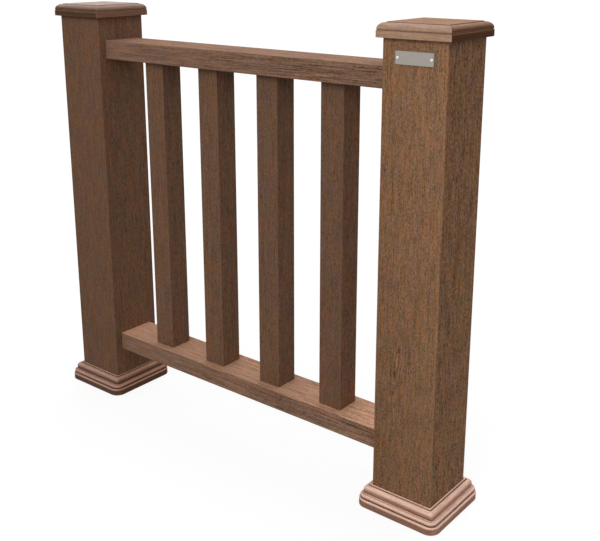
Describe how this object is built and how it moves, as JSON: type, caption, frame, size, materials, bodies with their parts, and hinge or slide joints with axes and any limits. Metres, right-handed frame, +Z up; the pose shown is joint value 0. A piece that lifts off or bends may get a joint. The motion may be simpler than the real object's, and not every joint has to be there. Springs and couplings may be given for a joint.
{
  "type": "composite fence section",
  "caption": "Section of composite railing fence: square posts with moulded caps and skirts, with a top rail, a bottom rail and square balusters between them.",
  "frame": {"origin": "centre of the left post's foot, on the underside of its steel shoe, at ground level", "axes": "+X along the fence from the left post to the right post, the front with the nameplate faces -Y, +Z up"},
  "size_m": [0.985, 0.165, 0.864],
  "materials": {
    "wpc_post": "embossed wood-plastic composite, matt",
    "wpc_rail": "embossed wood-plastic composite, matt",
    "wpc_baluster": "embossed wood-plastic composite, matt",
    "wpc_cap": "moulded wood-plastic composite, satin",
    "wpc_skirt": "moulded composite, satin",
    "plate_metal": "brushed",
    "rivet_metal": "satin",
    "shoe_steel": "galvanised"
  },
  "bodies": {
    "root": {"left_post": "wpc_post", "right_post": "wpc_post", "left_cap": "wpc_cap", "right_cap": "wpc_cap", "left_skirt": "wpc_skirt", "right_skirt": "wpc_skirt", "top_rail": "wpc_rail", "bottom_rail": "wpc_rail", "baluster_1": "wpc_baluster", "baluster_2": "wpc_baluster", "baluster_3": "wpc_baluster", "baluster_4": "wpc_baluster", "nameplate": "plate_metal", "nameplate_rivet_left": "rivet_metal", "nameplate_rivet_right": "rivet_metal", "left_shoe": "shoe_steel", "right_shoe": "shoe_steel"}
  },
  "joints": []
}
